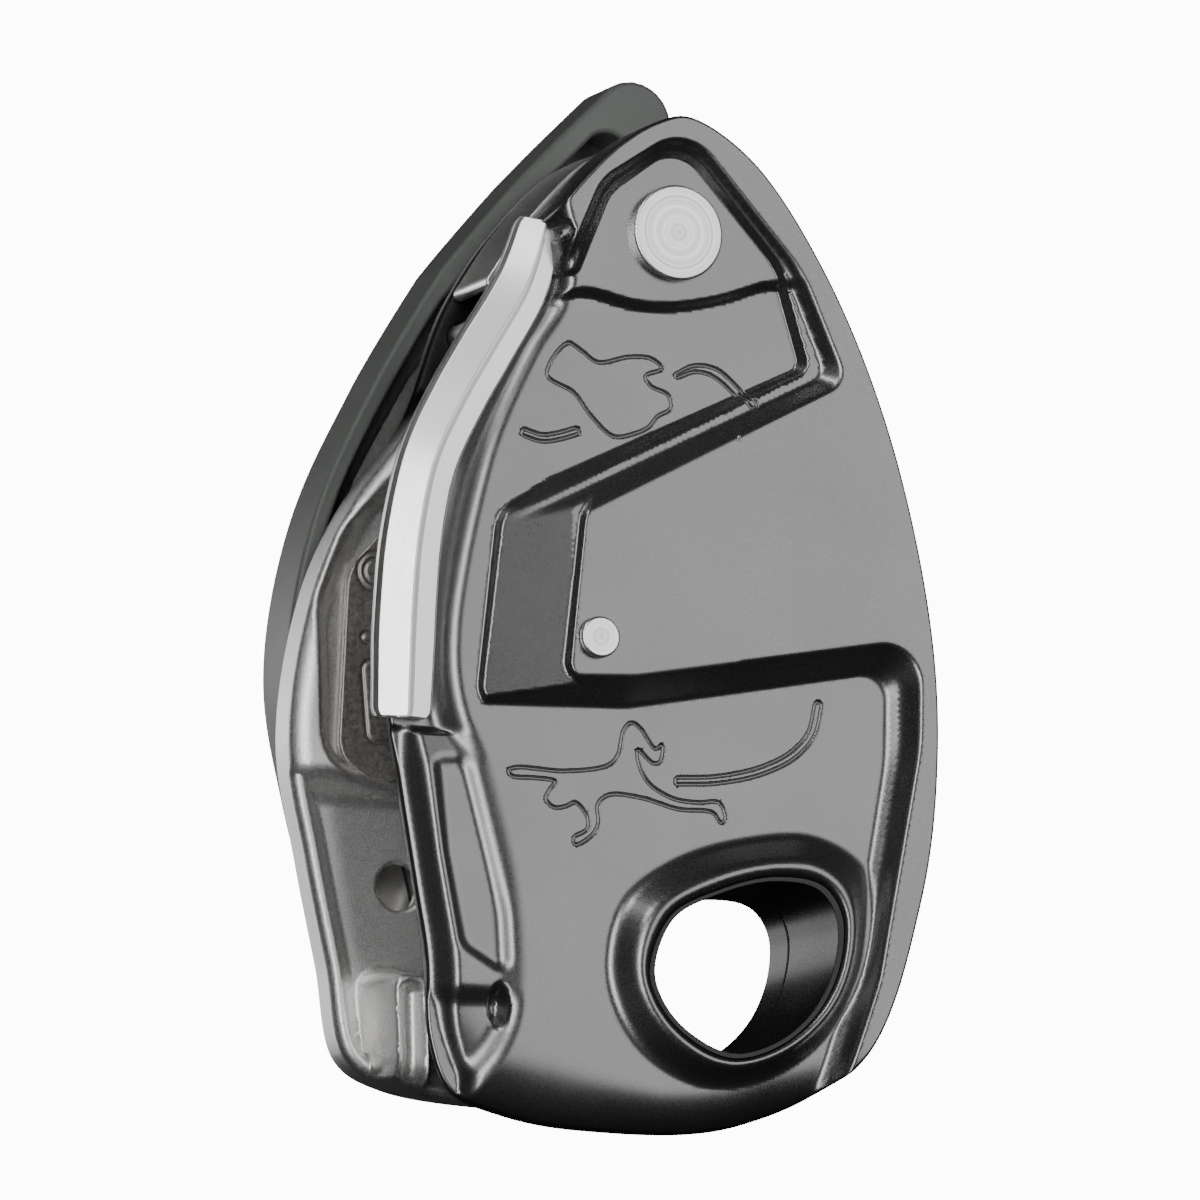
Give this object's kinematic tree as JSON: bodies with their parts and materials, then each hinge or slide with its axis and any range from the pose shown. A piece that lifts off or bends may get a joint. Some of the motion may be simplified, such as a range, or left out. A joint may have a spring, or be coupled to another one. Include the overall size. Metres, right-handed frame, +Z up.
{
  "type": "belay device",
  "caption": "Belay device with a swinging side plate, a rope channel round a braking cam, a carabiner eye, a polished wear strip and a folding release handle.",
  "frame": {"origin": "centre of the carabiner eye, half way across the rope channel", "axes": "+Z up towards the side plates' axle end, +X to the right seen from the swinging plate, +Y from the swinging plate to the handle"},
  "size_m": [0.0757, 0.0328, 0.1274],
  "materials": {
    "anodised": "satin dark grey anodised",
    "polished": "polished",
    "blasted": "bead blasted",
    "steel": "ground",
    "spring": "drawn wire",
    "plastic": "fine matt texture",
    "dark": "black anodised"
  },
  "bodies": {
    "frame": {"fixed_side_plate": "blasted", "rear_eye_bush": "dark", "side_panel": "blasted", "hinge_barrel": "steel", "axle_washer": "polished", "side_plate_axle": "polished", "friction_plate": "polished", "friction_pin_1": "steel", "friction_pin_2": "steel", "cam_bearing": "dark", "cam_stop_pin": "steel", "cam_return_spring": "spring", "detent_ball": "polished", "detent_leaf": "spring"},
    "swinging_side": {"moving_side_plate": "anodised", "wear_strip": "polished", "strip_rivet_1": "steel", "strip_rivet_2": "steel", "strip_rivet_3": "steel", "front_eye_bush": "dark", "catch_plate": "steel", "catch_rivet": "polished"},
    "cam_group": {"cam": "steel", "cam_shaft": "polished", "clutch_plate": "steel", "shaft_nut": "steel"},
    "hub": {"handle_hub": "steel", "clutch_spring": "spring", "fold_pin": "polished", "fold_washer": "polished"},
    "handle": {"handle_shell": "plastic", "handle_core": "steel", "core_rivet_1": "steel", "core_rivet_2": "steel"},
    "selector": {"selector_knob": "plastic", "selector_shaft": "steel", "selector_screw": "steel"}
  },
  "joints": [
    {"name": "side_plate_swing", "type": "hinge", "parent": "frame", "child": "swinging_side", "pos_m": [-0.0082, 0, 0.0859], "axis": [0, -1, 0], "range_deg": [0, 150]},
    {"name": "cam_pivot", "type": "hinge", "parent": "frame", "child": "cam_group", "pos_m": [-0.018, 0, 0.037], "axis": [0, 1, 0], "range_deg": [0, 28], "stiffness_Nm_per_rad": 0.05, "springref_deg": -17.19},
    {"name": "clutch_slip", "type": "hinge", "parent": "cam_group", "child": "hub", "pos_m": [-0.018, 0.01, 0.037], "axis": [0, -1, 0], "range_deg": [0, 40], "stiffness_Nm_per_rad": 0.1, "springref_deg": -22.92},
    {"name": "handle_fold", "type": "hinge", "parent": "hub", "child": "handle", "pos_m": [-0.0324, 0.013, -0.005], "axis": [0, -1, 0], "range_deg": [0, 150]},
    {"name": "selector_turn", "type": "hinge", "parent": "frame", "child": "selector", "pos_m": [0.006, 0.01, 0.03], "axis": [0, 1, 0], "range_deg": [0, 90]}
  ]
}
